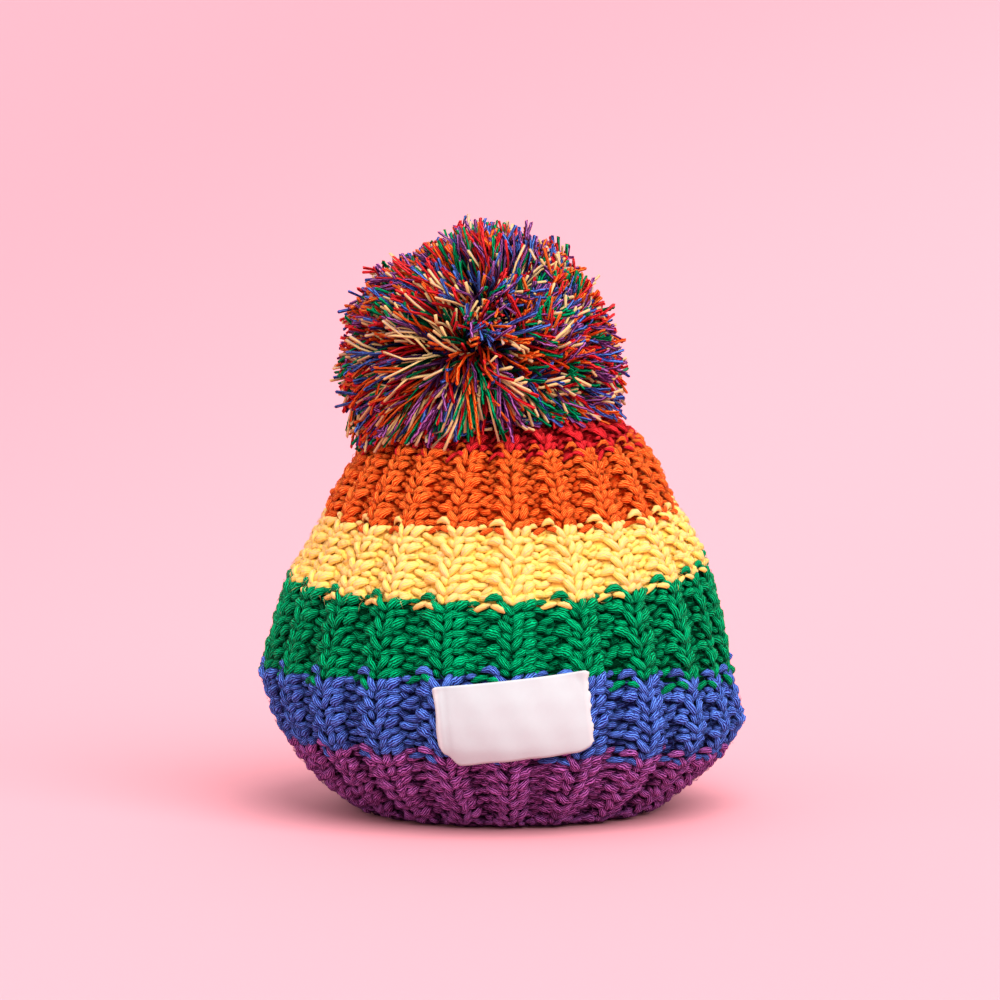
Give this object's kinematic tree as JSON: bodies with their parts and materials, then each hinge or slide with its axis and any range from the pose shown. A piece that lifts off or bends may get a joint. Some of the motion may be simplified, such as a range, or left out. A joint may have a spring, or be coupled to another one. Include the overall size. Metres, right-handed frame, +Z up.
{
  "type": "tea cosy",
  "caption": "Knitted tea cosy in rainbow stripes with a pompom on its gathered crown, slits for spout and handle, and a blank sewn-on label; it slips over a round teapot.",
  "frame": {"origin": "on the plane the hem rests on, under the middle of the box round the whole", "axes": "+Z up from the hem to the pompom, -Y out of the front with the label, -X through the spout slit, +X through the handle slit"},
  "size_m": [0.1832, 0.1824, 0.2249],
  "materials": {
    "striped_knit": "thick plied yarn in mistake rib, six colours in bands",
    "mixed_yarn": "cut ends of the same six yarns, mixed",
    "label_cloth": "matt woven cotton tape, bare"
  },
  "bodies": {
    "root": {"front_panel": "striped_knit", "back_panel": "striped_knit", "pompom": "mixed_yarn", "label": "label_cloth"}
  },
  "joints": []
}
